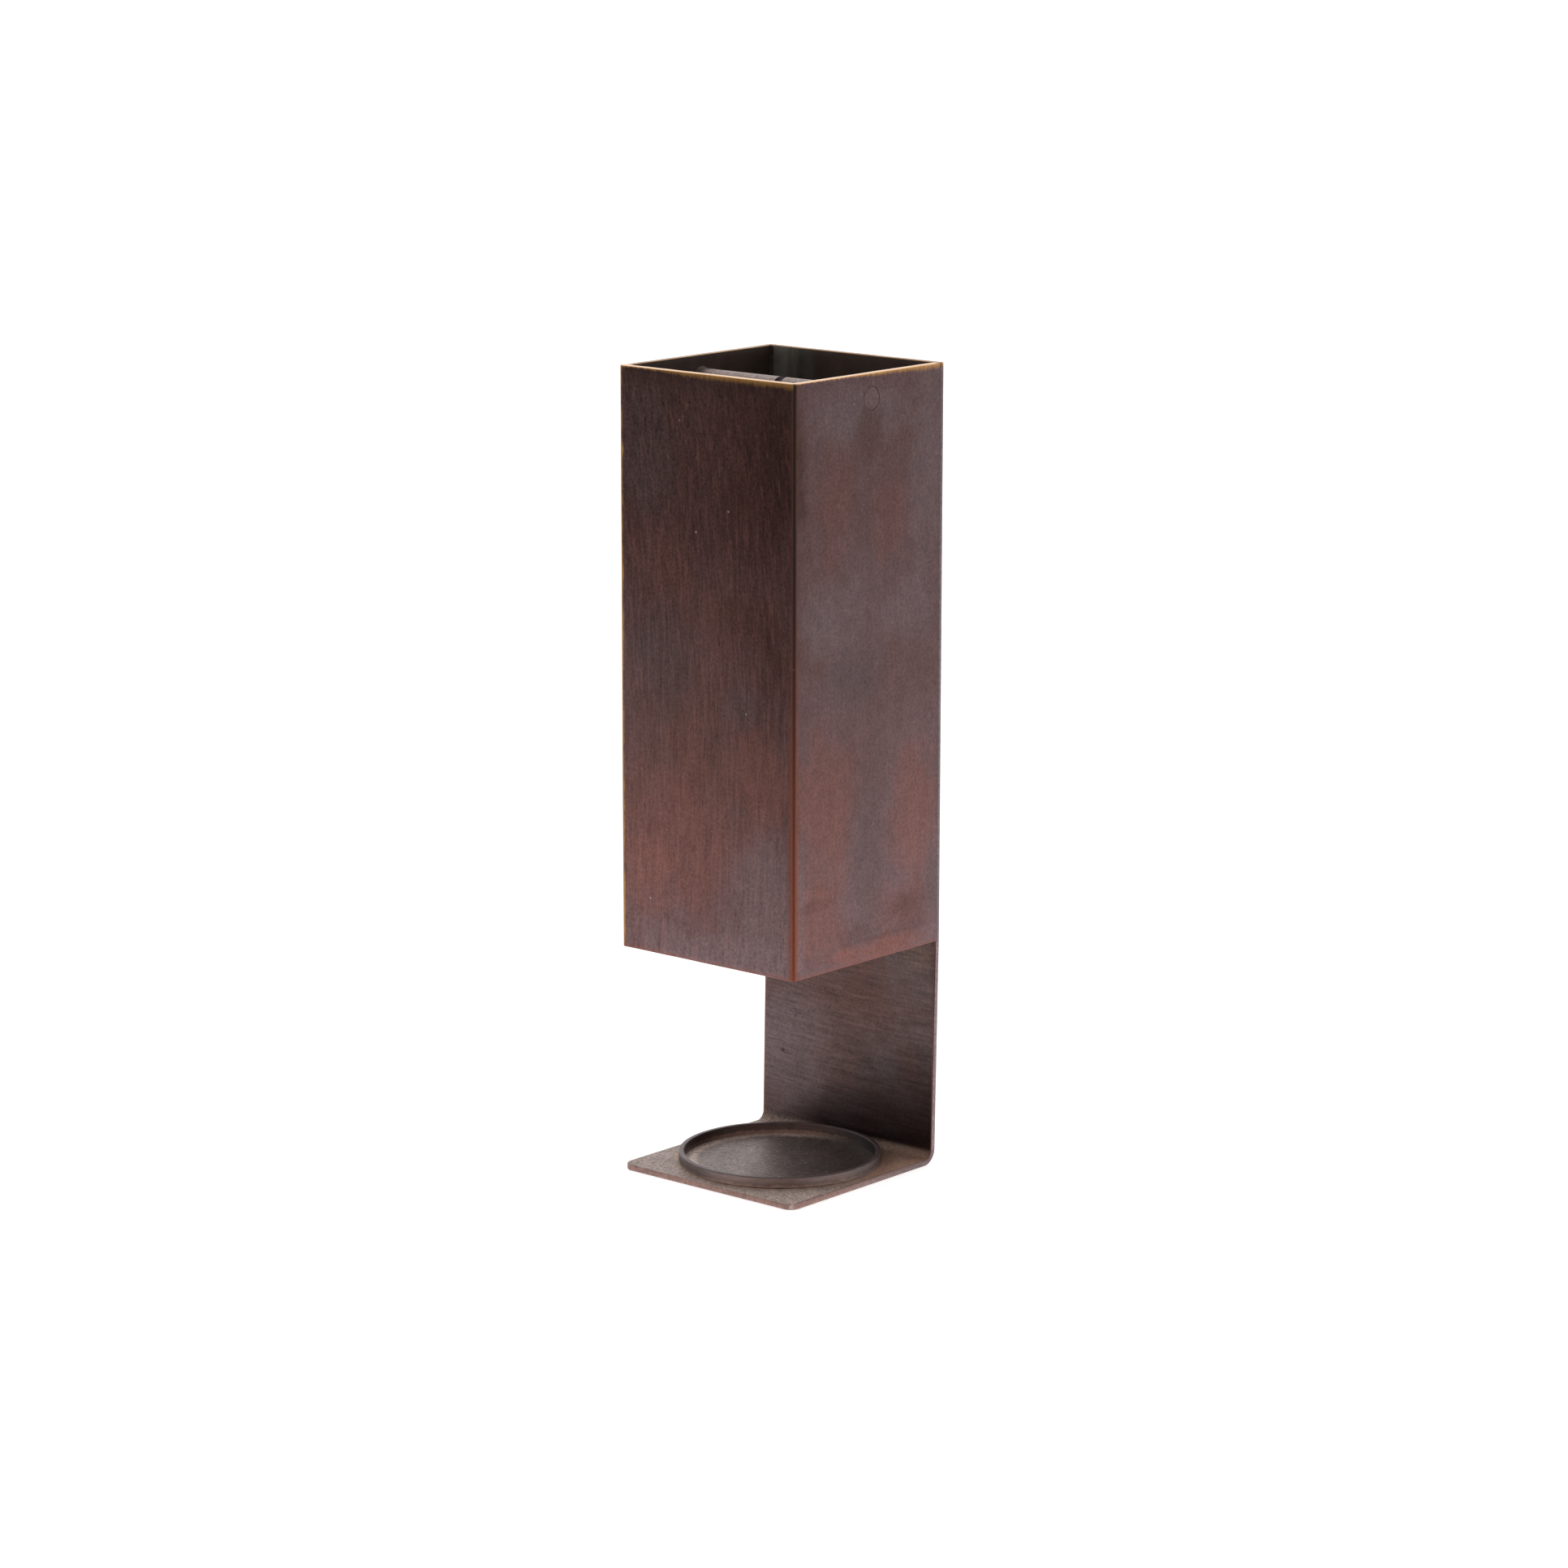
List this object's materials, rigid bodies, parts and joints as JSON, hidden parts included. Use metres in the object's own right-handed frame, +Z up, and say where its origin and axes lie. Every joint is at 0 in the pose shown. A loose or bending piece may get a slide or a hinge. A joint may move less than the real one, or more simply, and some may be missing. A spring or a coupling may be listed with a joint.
{
  "type": "chimney candle holder",
  "caption": "Square sheet-brass chimney carried on a bent back sheet over a square base with a low candle ring; a grooved round bar crosses the top.",
  "frame": {"origin": "on the table, under the middle of the chimney", "axes": "+Z up, -Y towards the open front, +Y towards the back sheet, +X to the right seen from the front"},
  "size_m": [0.06, 0.0605, 0.217],
  "materials": {
    "chimney_patina": "satin brown-purple patina, brushed upright, worn through to bright brass along the rim and to copper red down the folded edges",
    "bracket_patina": "satin dark brown patina, brushed across the arm, dusty on the base, copper red on the cut edges",
    "ring_patina": "satin dark brown patina, a little lighter along the top edge",
    "bar_dusty": "dark patina under a matt coat of grey dust",
    "solder_dark": "darkened hard solder, satin"
  },
  "bodies": {
    "root": {"back_and_base": "bracket_patina", "chimney_cover": "chimney_patina", "candle_ring": "ring_patina", "hanging_bar": "bar_dusty", "seam_solder_left": "solder_dark", "seam_solder_right": "solder_dark", "bar_solder_left": "solder_dark", "bar_solder_right": "solder_dark", "ring_solder": "solder_dark"}
  },
  "joints": []
}
